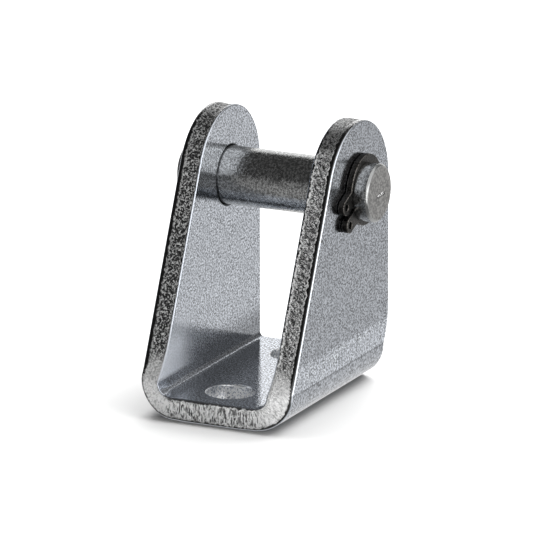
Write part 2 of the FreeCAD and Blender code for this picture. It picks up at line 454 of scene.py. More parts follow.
def ear_outline(sheet, step):
    """Edge of an ear from the front bend up the flare and slope, round the tip and down the rear.

    Gives across and height, and the function that tells where the front edge lies lower down."""
    bend_top = sheet.thickness + sheet.inner_bend_radius
    foot = np.array([FRONT_Y, sheet.foot_height])
    tip = np.array([PIN_Y, PIN_Z])
    to_tip = tip - foot
    slope_angle = math.atan2(to_tip[1], to_tip[0]) + math.asin(TIP_RADIUS / np.hypot(*to_tip))
    slope = np.array([math.cos(slope_angle), math.sin(slope_angle)])
    forward = np.array([-slope[1], slope[0]])

    flare_start = np.array([FRONT_Y, bend_top]) - foot
    stand_off = flare_start @ forward
    reach = math.sqrt(2 * sheet.flare_radius * stand_off - stand_off ** 2)
    flare_end = foot + slope * (flare_start @ slope + reach)
    flare_centre = flare_end + forward * sheet.flare_radius

    corner_y = FRONT_Y + sheet.corner_radius
    centre_distance = sheet.flare_radius + sheet.corner_radius
    corner_z = flare_centre[1] - math.sqrt(centre_distance ** 2 - (flare_centre[0] - corner_y) ** 2)
    corner = np.array([corner_y, corner_z])
    to_flare = flare_centre - corner
    corner_end = math.atan2(to_flare[1], to_flare[0])
    corner_start = math.pi - math.asin((bend_top - corner_z) / sheet.corner_radius)

    def front_edge(height):
        above = np.clip(height - corner_z, 0, sheet.corner_radius)
        return corner_y - np.sqrt(sheet.corner_radius ** 2 - above ** 2)

    tip_start_angle = slope_angle + QUARTER_TURN
    tip_start = tip + TIP_RADIUS * np.array([math.cos(tip_start_angle), math.sin(tip_start_angle)])
    slope_length = np.hypot(*(tip_start - flare_end))
    shares = steps_along(0, slope_length, step)[:, None] / slope_length
    rear = steps_along(PIN_Z, bend_top, step)
    runs = [
        arc_points(corner, sheet.corner_radius, corner_start, corner_end, step),
        arc_points(flare_centre, sheet.flare_radius, corner_end - math.pi, slope_angle - QUARTER_TURN, step),
        flare_end + (tip_start - flare_end) * shares,
        arc_points(tip, TIP_RADIUS, tip_start_angle, 0, step),
        np.stack([np.full(len(rear), REAR_Y), rear], -1),
    ]
    joined = [runs[0]] + [run[1:] for run in runs[1:]]
    return np.concatenate(joined), front_edge


def filled(points, loops):
    """Triangles of a flat panel inside its outline and outside its holes.

    points are all the corners, and loops the chains of corner numbers, the outline first."""
    used = sorted({corner for loop in loops for corner in loop})
    place_of = {corner: number for number, corner in enumerate(used)}
    flat = [Vector((points[corner][0] / MM, points[corner][1] / MM)) for corner in used]
    edges = []
    for loop in loops:
        for number, corner in enumerate(loop):
            edges.append((place_of[loop[number - 1]], place_of[corner]))
    found = geometry.delaunay_2d_cdt(flat, edges, [], INSIDE_THE_OUTLINE, SAME_POINT)
    corners = [used[source[0]] for source in found[3]]
    triangles = [tuple(corners[corner] for corner in triangle) for triangle in found[2]]
    holes = [set(loop) for loop in loops[1:]]
    return [triangle for triangle in triangles if not any(hole.issuperset(triangle) for hole in holes)]


def tear_streaks(along, run, depth):
    """Height of the tears: upright streaks on the base, slanting on the right ear, finer on the left."""
    shares = (
        1 - smooth_step(np.abs(along), *TEARS_CHANGE),
        smooth_step(along, *TEARS_CHANGE),
        smooth_step(-along, *TEARS_CHANGE),
    )
    streaks = np.zeros(along.shape)
    for layer, ((width, length, slant), share) in enumerate(zip(TEARS, shares)):
        across = (run * math.cos(slant) + depth * math.sin(slant)) / width
        lengthwise = (depth * math.cos(slant) - run * math.sin(slant)) / length
        for index in zip(*np.nonzero(share > 0)):
            spot = Vector((across[index], lengthwise[index], 10.0 * layer))
            streaks[index] += share[index] * noise.fractal(spot, 0.8, 2.1, 3)
    return streaks


def tears(fold, along, run, depth):
    """Relief of a cut edge at each point of its grid, and where the ragged borders of the tears run."""
    sheet = fold.sheet
    waves = [Vector((distance / WAVE_LENGTH, 3.0, 0.0)) for distance in run[:, 0]]
    ragged = np.array([noise.fractal(wave, 0.7, 2.3, 3) for wave in waves])[:, None]
    distance = np.abs(along)
    on_base = 1 - smooth_step(distance, fold.ear_start, fold.ear_start + 2.5 * MM)
    band_edge = fold.thickness - sheet.roll_height - sheet.smooth_band * (1 - on_base)
    band_edge = band_edge + BAND_WAVE * ragged
    lip_edge = LIP_WIDTH + LIP_WAVE * np.roll(ragged, LIP_SHIFT, 0)
    below_band = smooth_step(band_edge - depth, -BLUR, BLUR)
    torn = below_band * smooth_step(depth - lip_edge, -BLUR, BLUR)

    # The tears are calmer over the bends, which stretch the cut, and on the right tip.
    past_bend = smooth_step(distance, fold.ear_start + 1.0 * MM, fold.ear_start + 4.0 * MM)
    bend_share = smooth_step(distance, fold.axis_x - 0.5 * MM, fold.axis_x + 1.5 * MM) * (1 - past_bend)
    smooth_tip = smooth_step(along, *(fold.along_at_height(height) for height in SMOOTH_TIP))
    calm = 1 - np.maximum(0.75 * bend_share, 0.6 * smooth_tip)
    streaks = np.clip(0.5 + 0.9 * tear_streaks(along, run, depth), 0, 1)
    to_border = np.minimum(np.abs(depth - band_edge), np.abs(depth - lip_edge))
    return {
        "relief": torn * (0.25 + 0.75 * streaks) * calm,
        "torn": torn,
        "border": np.clip(1.3 - to_border / (0.14 * MM), 0, 1) * calm,
        "bend": bend_share * below_band,
        "tip": smooth_tip,
    }


def cut_edge(fold, outline):
    """Grid of the sheared edge all round the blank: its places in the blank, and its tears."""
    sheet = fold.sheet
    thickness = fold.thickness
    ahead = np.roll(outline, -1, 0) - np.roll(outline, 1, 0)
    ahead /= np.linalg.norm(ahead, axis=1)[:, None]
    outward = np.stack([ahead[:, 1], -ahead[:, 0]], -1)

    burr_turn = np.radians([0, 30, 60])
    roll_turn = np.radians([15, 30, 45, 60, 75, 90])
    wall = np.linspace(sheet.burr_radius, thickness - sheet.roll_height, sheet.cut_rows)
    depth = np.concatenate([
        sheet.burr_radius * (1 - np.cos(burr_turn)),
        wall,
        thickness - sheet.roll_height * (1 - np.sin(roll_turn)),
    ])
    inset = np.concatenate([
        sheet.burr_radius * (1 - np.sin(burr_turn)),
        np.zeros(len(wall)),
        sheet.roll_depth * (1 - np.cos(roll_turn)),
    ])
    grid_depth = np.repeat(depth[None, :], len(outline), 0)
    along = np.repeat(outline[:, :1], len(depth), 1)
    steps = np.linalg.norm(np.diff(outline, axis=0, prepend=outline[-1:]), axis=1)
    run = np.repeat(np.cumsum(steps)[:, None], len(depth), 1)
    looks = tears(fold, along, run, grid_depth)
    inward = inset[None, :] + sheet.tear_depth * looks["relief"]
    along = along - outward[:, :1] * inward
    across = outline[:, 1:] - outward[:, 1:] * inward
    # Edges that face the front or the rear lean, and the top of each tip doesn't.
    end = np.where(outline[:, 1:] > 0, 1, -1) * (np.abs(outward[:, 1:]) > LEANS_ABOVE)
    across = across - end * fold.lean(along) * grid_depth / thickness
    return np.stack([along, across, grid_depth], -1), looks


def hole_wall(fold, centre, radius, roll):
    """Grid of a punched hole's wall, drawn in at the inner face."""
    thickness = fold.thickness
    small = fold.sheet.burr_radius
    roll_turn = np.radians([0, 18, 36, 54, 72, 90])
    exit_turn = np.radians([30, 60, 90])
    wall = np.linspace(roll, thickness - small, HOLE_ROWS)[1:]
    depth = np.concatenate([
        roll * (1 - np.cos(roll_turn)), wall, thickness - small * (1 - np.sin(exit_turn))])
    wider = np.concatenate([
        roll * (1 - np.sin(roll_turn)), np.zeros(len(wall)), small * (1 - np.cos(exit_turn))])
    angles = np.arange(HOLE_SEGMENTS) * 2 * math.pi / HOLE_SEGMENTS
    reach = radius + wider[None, :]
    along = centre[0] + np.cos(angles)[:, None] * reach
    across = centre[1] + np.sin(angles)[:, None] * reach
    return np.stack([along, across, np.repeat(depth[None, :], HOLE_SEGMENTS, 0)], -1)


def grid_normals(places):
    """Directions square to a closed grid of places, from its neighbours."""
    round_it = np.roll(places, -1, 0) - np.roll(places, 1, 0)
    through = np.gradient(places, axis=1)
    normals = np.cross(round_it, through)
    return normals / np.linalg.norm(normals, axis=-1)[..., None]


def grid_faces(first, rounds, rows, flip):
    """Faces of a closed grid whose points start at a number."""
    faces = []
    for turn in range(rounds):
        here = first + turn * rows
        following = first + (turn + 1) % rounds * rows
        for row in range(rows - 1):
            face = (here + row, following + row, following + row + 1, here + row + 1)
            faces.append(face[::-1] if flip else face)
    return faces


def blank_outline(fold):
    """Outline of the flat blank, from the middle of its front edge round the right ear and on.

    Also gives the number of steps from there to the middle of the rear edge, and the number of
    them over half the base and over a bend."""
    step = fold.sheet.cut_step
    ear, front_edge = ear_outline(fold.sheet, step)
    base = steps_along(0, fold.axis_x, step)
    bend = steps_along(fold.axis_x, fold.ear_start, step)[1:]
    front_bend = np.stack([bend, front_edge(fold.axis_z + bend - fold.ear_start)], -1)
    ear_points = np.stack([fold.along_at_height(ear[:, 1]), ear[:, 0]], -1)
    front = np.concatenate([np.stack([base, np.full(len(base), FRONT_Y)], -1), front_bend])
    rear_along = np.concatenate([base, bend])[::-1]
    rear = np.stack([rear_along, np.full(len(rear_along), REAR_Y)], -1)
    right = np.concatenate([front, ear_points[1:-1], rear])
    left = right[-2:0:-1] * (-1, 1)
    return np.concatenate([right, left]), len(right) - 1, len(base) - 1, len(bend)


class SheetMesh:
    """The whole sheet as one closed mesh: cut edge, hole walls and both faces."""

    def __init__(self, sheet):
        self.fold = Fold(sheet)
        self.blank, self.normals, self.faces, self.starts = [], [], [], []
        outline, self.half_round, self.base_steps, self.bend_steps = blank_outline(self.fold)
        cut, self.looks = cut_edge(self.fold, outline)
        self.rounds, self.rows = cut.shape[:2]
        self.add_grid(cut, False)
        self.add_holes(sheet)
        self.add_bend_points(outline)
        self.points = np.concatenate(self.blank)
        for outer in (False, True):
            self.add_flat_faces(outer)
            self.add_bend_faces(outer)

    def add_grid(self, grid, is_hole):
        """Adds the cut edge or a hole's wall, with smooth normals that end square to both faces."""
        start = sum(len(part) for part in self.blank)
        self.starts.append(start)
        self.faces += grid_faces(start, grid.shape[0], grid.shape[1], not is_hole)
        places = self.fold.place(grid[..., 0], grid[..., 1], grid[..., 2])
        square = grid_normals(places) * (1 if is_hole else -1)
        out_x, out_z = self.fold.outward(grid[:, -1, 0])
        square[:, -1] = np.stack([out_x, np.zeros(len(out_x)), out_z], -1)
        square[:, 0] = self.fold.inner_normals(grid[:, 0, 0], grid[:, 0, 1])
        self.blank.append(grid.reshape(-1, 3))
        self.normals.append(square.reshape(-1, 3))

    def add_holes(self, sheet):
        """Adds the walls of both pin bores and then of both screw holes."""
        pin_along = self.fold.along_at_height(PIN_Z)
        bore = bpy.context.scene.turned_pin.diameter / 2 + sheet.bore_clearance
        screw = sheet.screw_hole_diameter / 2
        half_spacing = sheet.screw_hole_spacing / 2
        bores = [((side * pin_along, PIN_Y), bore, sheet.bore_roll) for side in (1, -1)]
        screws = [((0.0, side * half_spacing), screw, sheet.hole_roll) for side in (1, -1)]
        walls = [hole_wall(self.fold, *hole) for hole in bores + screws]
        self.hole_rows = walls[0].shape[1]
        for wall in walls:
            self.add_grid(wall, True)

    def add_bend_points(self, outline):
        """Adds points on the inner side of each bend at its front end, where its radius changes."""
        stations = outline[self.base_steps:self.base_steps + self.bend_steps + 1, 0]
        inside = np.zeros((2, len(stations), len(BEND_POINTS_Y), 3))
        inside[..., 0] = np.array([1, -1])[:, None, None] * stations[:, None]
        inside[..., 1] = BEND_POINTS_Y
        inside = inside.reshape(-1, 3)
        self.inside_start = sum(len(part) for part in self.blank)
        self.blank.append(inside)
        self.normals.append(self.fold.inner_normals(inside[:, 0], inside[:, 1]))

    def rim(self, number, outer):
        """Number of a point where the cut edge meets the inner or the outer face."""
        return (number % self.rounds) * self.rows + (self.rows - 1 if outer else 0)

    def hole_loop(self, number, outer):
        """Numbers of the points round a hole on the inner or the outer face."""
        start = self.starts[1 + number] + (self.hole_rows - 1 if outer else 0)
        return [start + turn * self.hole_rows for turn in range(HOLE_SEGMENTS)]

    def across_bend(self, side, number, outer):
        """Numbers of the added points from front to rear at one step of a bend, none on the outer face."""
        if outer:
            return []
        count = len(BEND_POINTS_Y)
        start = self.inside_start + ((side < 0) * (self.bend_steps + 1) + number) * count
        return list(range(start, start + count))

    def add_flat_faces(self, outer):
        """Fills each ear and the base on the inner or the outer face."""
        base, bend, middle = self.base_steps, self.bend_steps, self.half_round
        panels = []
        for number, side in enumerate((1, -1)):
            ear = [self.rim(side * spot, outer) for spot in range(base + bend, middle - base - bend + 1)]
            ear += self.across_bend(side, bend, outer)[::-1]
            panels.append([ear, self.hole_loop(number, outer)])
        flat = [self.rim(spot, outer) for spot in range(-base, base + 1)] + self.across_bend(1, 0, outer)
        flat += [self.rim(spot, outer) for spot in range(middle - base, middle + base + 1)]
        flat += self.across_bend(-1, 0, outer)[::-1]
        panels.append([flat, self.hole_loop(2, outer), self.hole_loop(3, outer)])
        for loops in panels:
            for triangle in filled(self.points, loops):
                self.faces.append(triangle[::-1] if outer else triangle)

    def add_bend_faces(self, outer):
        """Fills both bends on the inner or the outer face, in strips from front to rear."""
        for side in (1, -1):
            lines = []
            for number in range(self.bend_steps + 1):
                front = self.rim(side * (self.base_steps + number), outer)
                rear = self.rim(side * (self.half_round - self.base_steps - number), outer)
                lines.append([front, *self.across_bend(side, number, outer), rear])
            for line, following in zip(lines, lines[1:]):
                for spot in range(len(line) - 1):
                    face = (line[spot], following[spot], following[spot + 1], line[spot + 1])
                    self.faces.append(face[::-1] if outer == (side > 0) else face)

    def places(self):
        """Places of all points on the folded sheet."""
        return self.fold.place(self.points[:, 0], self.points[:, 1], self.points[:, 2])

    def values(self):
        """Values at all points for the finish, and the place of each point on the blank."""
        on_cut = np.ones((self.rounds, self.rows))
        on_cut[:, (0, -1)] = 0
        in_hole = np.ones((len(self.starts) - 1, HOLE_SEGMENTS, self.hole_rows))
        in_hole[:, :, (0, -1)] = 0
        in_bore = in_hole.copy()
        in_bore[2:] = 0
        values = {"blank": self.points}
        for fields, start in (
            ({**self.looks, "on_cut": on_cut}, 0),
            ({"in_hole": in_hole, "in_bore": in_bore}, self.starts[1]),
        ):
            for name, field in fields.items():
                values[name] = np.zeros(len(self.points))
                values[name][start:start + field.size] = field.ravel()
        return values


class SheetSpot:
    """Where a point lies on the blank, as node outputs for the zinc."""

    def __init__(self, beside, fold):
        self.fold = fold
        self.blank = attribute(beside, "blank", "Vector")
        self.along, self.across, self.depth = split(self.blank)
        self.over_bend = maths("SUBTRACT", maths("ABSOLUTE", self.along), fold.ear_start)
        self.on_base = ramp(self.over_bend, 0.5 * MM, -2.0 * MM)
        self.on_right, self.on_left = (
            ramp(self.over_bend, 0.0, 2.0 * MM, 0.0, ramp(self.along, 0.0, side * MM))
            for side in (1.0, -1.0))


def zinc_mottle(blank):
    """Fine grain of the plating, and its mottle."""
    fine = grain(blank, 0.27 * MM, 2.0, 0.6)
    streak = grain(stretched(blank, (0.15, 1.0, 1.0)), 0.35 * MM, 1.0)
    return fine, maths("ADD", product(fine, 0.85), product(streak, 0.15))


def zinc_faces(spot, zinc, mottle):
    """Colour of both faces, with painted shade, and where they are pale and matt."""
    over_bend, across = spot.over_bend, spot.across
    cloud = grain(spot.blank, 2.5 * MM, 2.0)
    face = tones(ramp(mottle, 0.42, 0.58), zinc, 0.30, 1.47)
    face = mixed(ramp(cloud, 0.35, 0.7, 0.0, 0.3), face, shade(zinc, 0.85))
    # The outer faces are painted darker than the inner ones: painted shade for the dimmer light that they
    # get.
    outer = ramp(spot.depth, 1.5 * MM, 2.5 * MM)
    face = toned(outer, face, 0.72)

    # The outer side is rubbed bright in a band over each bend, with painted shade along the crease under it.
    frayed = product(grain(spot.blank, 1.0 * MM, 3.0), 3 * MM)
    above_crease = ramp(over_bend, -0.05 * MM, 0.15 * MM)
    below_fray = ramp(maths("ADD", over_bend, frayed), 5.2 * MM, 4.4 * MM)
    face = toned(product(outer, above_crease, below_fray), face, 1.45)
    crease = ramp(maths("ABSOLUTE", over_bend), 0.15 * MM, 0.05 * MM)
    face = toned(product(outer, crease), face, 0.68)

    # Inside, the fold is darkened with painted shade towards the rear, and the face is lighter and matt at
    # the front.
    inner = ramp(spot.depth, 1.5 * MM, 0.5 * MM)
    painted_fold_shade = product(
        inner, ramp(over_bend, -2.9 * MM, -2.6 * MM), ramp(over_bend, 4.0 * MM, 0.0),
        ramp(across, -10.0 * MM, 1.0 * MM))
    face = toned(painted_fold_shade, face, 0.5)
    pale_matt_front = product(
        inner, ramp(across, -3.0 * MM, -10.0 * MM), ramp(over_bend, -0.5 * MM, 0.5 * MM),
        ramp(over_bend, 10.0 * MM, 3.0 * MM), 0.85)
    return mixed(product(pale_matt_front, 0.9), face, shade(zinc, 1.4)), pale_matt_front


def torn_grain(spot):
    """Grain of the torn metal: round grains, the grain that fits each part of the cut, and where it gets
    painted glints.

    The base has upright streaks, the right ear slanting ribs and the left ear the round grains."""
    grains = grain(spot.blank, 0.26 * MM, 2.0, 0.6)
    upright = grain(stretched(spot.blank, (1.0, 1.0, 0.26)), 0.19 * MM, 2.0, 0.6)
    turned = add(
        spot.blank, "ShaderNodeMapping", {"Vector": spot.blank, "Rotation": (0.0, math.radians(35), 0.0)})
    slanting = grain(stretched(turned.outputs[0], (1.0, 1.0, 0.5)), 0.26 * MM, 2.0, 0.6, 1.0)
    speck = mixed_value(ramp(spot.along, 0.0, 1.0 * MM), grains, slanting)
    speck = mixed_value(spot.on_base, speck, upright)
    ribs = maths("ABSOLUTE", maths("SUBTRACT", slanting, 0.5))
    # Painted glints: bright specks, and thin ribs on the right ear.
    bright = mixed_value(spot.on_right, ramp(speck, 0.51, 0.56), ramp(ribs, 0.048, 0.034))
    return grains, speck, bright


def torn_metal(spot, cut, looks, speck, bright):
    """Colour of the cut: dark, with painted glints on its ridges and darker pits, and rubbed over the bends.
    """
    # Pits are darker, with painted shade where the tears are deepest.
    deep = ramp(looks["relief"], 0.6, 0.9, 0.0, 0.8)
    pits = maths("MAXIMUM", ramp(speck, 0.47, 0.41), deep)
    # The cut is painted lighter on the base and darker on the left ear: painted light and shade.
    between = mixed(spot.on_base, tones(spot.on_left, cut, 0.25, 0.12), shade(cut, 2.3))
    ridges = mixed(bright, between, tones(spot.on_left, cut, 2.5, 1.6))
    ridges = mixed(pits, ridges, tones(spot.on_base, cut, 0.05, 0.25))
    ridges = toned(product(looks["tip"], 0.8), ridges, 0.25)
    # Off the torn metal, the smooth sheared band and lip are painted dark, as a painted dark reflection.
    edge = mixed(looks["torn"], shade(cut, 0.28), ridges)
    rubbed = tones(ramp(speck, 0.36, 0.52), cut, 1.9, 2.5)
    return mixed(product(looks["bend"], 0.8), edge, rubbed)


def zinc_finish(colours):
    """Zinc plating: a fine mottle on the faces, and dark torn cuts with bright specks and borders painted as
    glints.
    """
    finish, shader = new_finish("zinc_plating")
    spot = SheetSpot(shader, Fold(bpy.context.scene.bracket_sheet))
    names = ("relief", "torn", "border", "bend", "tip", "on_cut", "in_hole", "in_bore")
    looks = {name: attribute(shader, name) for name in names}
    torn, on_cut, in_hole = looks["torn"], looks["on_cut"], looks["in_hole"]
    zinc, cut = colours.zinc, colours.cut_edge
    fine, mottle = zinc_mottle(spot.blank)
    face, pale_matt_front = zinc_faces(spot, zinc, mottle)
    # The screw hole walls are painted lighter, as painted light, and the pin bores dark, as painted shade
    # round the pin.
    smooth = mixed(looks["in_bore"], toned(in_hole, face, 2.1), shade(zinc, 0.3))
    grains, speck, bright = torn_grain(spot)
    edge = torn_metal(spot, cut, looks, speck, bright)
    # Painted glints along the ragged borders of the torn metal, half as strong on the left half.
    right_half = ramp(spot.along, 0.0, 1.0 * MM, 0.5, 1.0)
    painted_border_glint = product(ramp(looks["border"], 0.2, 0.8), ramp(grains, 0.40, 0.50), right_half)
    edge = mixed(painted_border_glint, edge, shade(cut, 2.5))

    # The top of each tip gets painted highlight flecks, and both rounded edges of the cut are rubbed bright.
    at_pin = PIN_Z - spot.fold.axis_z
    top = ramp(spot.over_bend, at_pin + 8.6 * MM, at_pin + 9.5 * MM)
    edge = mixed(product(top, ramp(grains, 0.46, 0.54, 0.1, 1.0)), edge, shade(zinc, 1.66))
    burr = spot.fold.sheet.burr_radius
    outer_line = spot.fold.thickness - 0.06 * MM
    flat = product(
        ramp(spot.depth, 0.8 * burr, 1.1 * burr),
        ramp(spot.depth, outer_line, outer_line - 0.1 * MM))
    edge = mixed(flat, shade(zinc, 1.1), edge)
    feed(shader, "Base Color", mixed(on_cut, smooth, edge))

    # The torn metal is dull, the smooth parts are glossy.
    dull = product(
        maths("MAXIMUM", torn, looks["bend"]), ramp(top, 0.0, 1.0, 0.75, 0.4),
        ramp(bright, 0.0, 1.0, 0.85, 1.3))
    dull = product(on_cut, flat, maths("MAXIMUM", dull, painted_border_glint))
    dull = maths("MAXIMUM", dull, pale_matt_front)
    feed(shader, "Metallic", maths("SUBTRACT", 1.0, dull))
    ear_rough = ramp(spot.over_bend, 0.0, 2.0 * MM, 0.0, 0.07)
    face_rough = maths("ADD", ramp(fine, 0.3, 0.7, 0.05, 0.10), ear_rough)
    smooth_rough = mixed_value(in_hole, face_rough, 0.38)
    cut_rough = mixed_value(torn, 0.20, mixed_value(bright, 0.55, 0.35))
    feed(shader, "Roughness", mixed_value(on_cut, smooth_rough, cut_rough))
    cut_height = product(speck, flat, mixed_value(torn, 0.03 * MM, 0.22 * MM))
    feed_bumps(shader, mixed_value(on_cut, product(mottle, 0.012 * MM), cut_height))
    return finish


def pin_finish(colours):
    """Turned and plated steel: glossy round the side with fine turning lines, matt on the ends."""
    finish, shader = new_finish("turned_steel")
    place = object_place(shader)
    on_end, nick = attribute(shader, "on_end"), attribute(shader, "nick")
    pin, pin_end = colours.pin, colours.pin_end
    turning = grain(stretched(place, (1.0, 0.03, 0.03)), 0.12 * MM, 2.0)
    speck = grain(place, 0.30 * MM, 2.0, 0.6)
    blotch = grain(place, 1.6 * MM, 2.0)
    side = tones(ramp(speck, 0.40, 0.62), pin, 0.55, 1.45)
    side = mixed(ramp(blotch, 0.35, 0.7, 0.0, 0.35), side, shade(pin, 0.7))
    # The chamfers are painted darker, as painted shade that dims the highlight on them.
    side = mixed(attribute(shader, "chamfer"), side, shade(pin, 0.65))
    end = tones(ramp(speck, 0.40, 0.60), pin_end, 0.65, 1.3)
    # The nick is painted dark round its edge and light in its middle: painted shade and a painted highlight.
    end = mixed(ramp(nick, 0.15, 0.35), end, shade(pin_end, 0.2))
    end = mixed(ramp(nick, 0.50, 0.60), end, shade(pin_end, 3.0))
    feed(shader, "Base Color", mixed(on_end, side, end))
    side_rough = ramp(speck, 0.3, 0.7, 0.14, 0.26)
    end_rough = ramp(speck, 0.3, 0.7, 0.42, 0.58)
    feed(shader, "Roughness", mixed_value(on_end, side_rough, end_rough))

    # The bumps are ten times weaker beyond the rings.
    height = maths("ADD", product(turning, 0.4), product(speck, 0.8))
    from_middle = maths("ABSOLUTE", split(place)[0])
    height = product(height, ramp(from_middle, RING_X, EAR_OUTER_X, 0.1, 1.0))
    feed_bumps(shader, height, 0.03 * MM)
    return finish


def ring_finish(colours):
    """Dark oily phosphate on spring steel, with a painted highlight on its rounded edges."""
    finish, shader = new_finish("phosphated_steel")
    place = object_place(shader)
    ring = colours.ring
    speck = grain(place, 0.25 * MM, 3.0, 0.6)
    patch = grain(place, 1.2 * MM, 2.0)
    # The rounded edges are painted light brown in specks: a painted highlight.
    rubbed = product(attribute(shader, "rubbed"), ramp(speck, 0.35, 0.55))
    colour = tones(ramp(speck, 0.40, 0.62), ring, 0.45, 1.7)
    colour = mixed(ramp(patch, 0.45, 0.7, 0.0, 0.5), colour, shade(ring, 2.2))
    feed(shader, "Base Color", mixed(rubbed, colour, shade(ring, 9.0)))
    feed(shader, "Roughness", ramp(speck, 0.3, 0.7, 0.24, 0.42))
    feed_bumps(shader, speck, 0.05 * MM)
    return finish


def turned_profile(pin):
    """Places along the pin from its middle to its end, with the radius at each."""
    radius = pin.diameter / 2
    groove_floor = radius - pin.groove_depth
    groove_inner = RING_X - pin.groove_width / 2
    groove_outer = RING_X + pin.groove_width / 2
    soft = 0.03 * MM
    land_end = PIN_END_X - pin.end_chamfer
    corner = radius - pin.end_chamfer
    return [
        (0.0, radius), (groove_inner - soft, radius), (groove_inner, radius - soft),
        (groove_inner, groove_floor), (groove_outer, groove_floor), (groove_outer, radius - soft),
        (groove_outer + soft, radius), (land_end - 3 * soft, radius), (land_end - soft, radius),
        (land_end, radius - soft / 2),
        (PIN_END_X - soft, corner + soft / 2), (PIN_END_X, corner - soft),
    ]


def pin_end_relief(height, across, pin_radius):
    """How far the cut end of the pin sinks in, with shallow turning rings, and how torn it is."""
    radius = math.hypot(height, across)
    rings = TURNING_DEPTH * (1 + math.sin(radius / TURNING_SPACING))
    dish = DISH_DEPTH * (1 - (radius / pin_radius) ** 2)
    ragged = noise.fractal(Vector((across / (0.35 * MM), height / (0.25 * MM), 0.0)), 0.7, 2.2, 3)
    beside = abs(height - NICK_PLACE[1] - 0.1 * MM * ragged) / NICK_HALF_SIZE[1]
    along = abs(across - NICK_PLACE[0]) / NICK_HALF_SIZE[0]
    nick = max(0.0, 1 - beside ** 2) * max(0.0, 1 - along ** 4)
    torn = nick * max(0.0, min(1.0, 0.7 + 1.4 * ragged))
    return rings + dish + NICK_DEPTH * torn, torn


def strip_faces(first, second, count, flip=False):
    """Faces between two closed rings of points that start at two numbers."""
    faces = []
    for number in range(count):
        following = (number + 1) % count
        face = (first + number, first + following, second + following, second + number)
        faces.append(face[::-1] if flip else face)
    return faces


def pin_cut_end(pin, turns, side, rim, first):
    """Points, faces and torn shares of a cut end, ring by ring from its rim to its centre.

    side is 1 at the right end and -1 at the left one. rim is the number of the first point on the
    rim, and first the number that the end's own points start at."""
    rim_radius = turned_profile(pin)[-1][1]
    points, faces, shares = [], [], []
    previous = rim
    for ring in range(1, PIN_END_RINGS):
        radius = rim_radius * (1 - ring / PIN_END_RINGS)
        start = first + len(points)
        for turn in turns:
            across, height = radius * math.cos(turn), radius * math.sin(turn)
            sink, torn = pin_end_relief(height, across * side, pin.diameter / 2)
            sink *= min(1.0, ring / 2)
            points.append((side * (PIN_END_X - sink), PIN_Y + across, PIN_Z + height))
            shares.append(torn)
        faces += strip_faces(previous, start, len(turns), side < 0)
        previous = start
    sink, torn = pin_end_relief(0, 0, pin.diameter / 2)
    centre = first + len(points)
    points.append((side * (PIN_END_X - sink), PIN_Y, PIN_Z))
    shares.append(torn)
    for number in range(len(turns)):
        face = (previous + number, previous + (number + 1) % len(turns), centre)
        faces.append(face if side > 0 else face[::-1])
    return points, faces, shares


def pin_mesh(pin):
    """The pin as one closed mesh, turned about its axis, with both cut ends."""
    half = turned_profile(pin)
    profile = [(-x, radius) for x, radius in reversed(half)] + half[1:]
    segments = pin.segments
    turns = [2 * math.pi * number / segments for number in range(segments)]
    points, faces = [], []
    for x, radius in profile:
        points += [(x, PIN_Y + radius * math.cos(turn), PIN_Z + radius * math.sin(turn)) for turn in turns]
    side_count = len(points)
    last_ring = side_count - segments
    for ring in range(0, last_ring, segments):
        faces += strip_faces(ring, ring + segments, segments)
    chamfer_start = PIN_END_X - 1.01 * pin.end_chamfer
    chamfer = [float(abs(point[0]) > chamfer_start) for point in points]
    nick = [0.0] * side_count
    for side, rim in ((-1, 0), (1, last_ring)):
        end_points, end_faces, shares = pin_cut_end(pin, turns, side, rim, len(points))
        points += end_points
        faces += end_faces
        nick += shares
    end_count = len(points) - side_count
    on_end = [0.0] * side_count + [1.0] * end_count
    return points, faces, {"on_end": on_end, "nick": nick, "chamfer": chamfer + [0.0] * end_count}


def ring_outline(ring):
    """Outline of a ring with its gap along the first axis, and the place of one lug's hole."""
    pin = bpy.context.scene.turned_pin
    inner = pin.diameter / 2 - pin.groove_depth + ring.seat_clearance
    outer = inner + (ring.back_width + ring.shoulder_width) / 2
    shift = (ring.back_width - ring.shoulder_width) / 2
    lug = ring.lug_width / 2
    lug_x = inner + ring.lug_reach - lug
    lug_y = ring.lug_gap / 2 + lug
    root = ring.root_radius
    side_y = ring.lug_gap / 2 + ring.lug_width
    root_x = math.sqrt((outer + root) ** 2 - (side_y + root) ** 2) - shift
    root_angle = math.atan2(side_y + root, root_x + shift)
    bore_angle = math.asin(ring.lug_gap / 2 / inner)
    upper = np.concatenate([
        arc_points((0, 0), inner, math.pi, bore_angle, RING_STEP),
        arc_points((lug_x, lug_y), lug, -QUARTER_TURN, QUARTER_TURN, RING_STEP),
        arc_points((root_x, side_y + root), root, -QUARTER_TURN, root_angle - math.pi, RING_STEP),
        arc_points((-shift, 0), outer, root_angle, math.pi, RING_STEP),
    ])
    lower = upper[::-1] * (1, -1)
    return np.concatenate([upper[:-1], lower[:-1]]), lug_x, lug_y


def ring_curve(name, ring):
    """A filled curve of a ring, as thick as the ring and with soft edges."""
    outline, lug_x, lug_y = ring_outline(ring)
    hole = ring.lug_hole_diameter / 2
    curve = bpy.data.curves.new(name, "CURVE")
    curve.dimensions = "2D"
    curve.fill_mode = "BOTH"
    curve.extrude = RING_THICKNESS / 2 - ring.edge_radius
    curve.bevel_depth = ring.edge_radius
    curve.bevel_resolution = 2
    curve.offset = -ring.edge_radius
    circle = np.arange(LUG_HOLE_SEGMENTS) * 2 * math.pi / LUG_HOLE_SEGMENTS
    hole_x, hole_y = lug_x + hole * np.cos(circle), hole * np.sin(circle)
    loops = [outline, np.stack([hole_x, lug_y + hole_y], -1), np.stack([hole_x, hole_y - lug_y], -1)]
    for loop in loops:
        spline = curve.splines.new("POLY")
        spline.points.add(len(loop) - 1)
        spline.points.foreach_set("co", [number for x, y in loop for number in (x, y, 0.0, 1.0)])
        spline.use_cyclic_u = True
    return curve


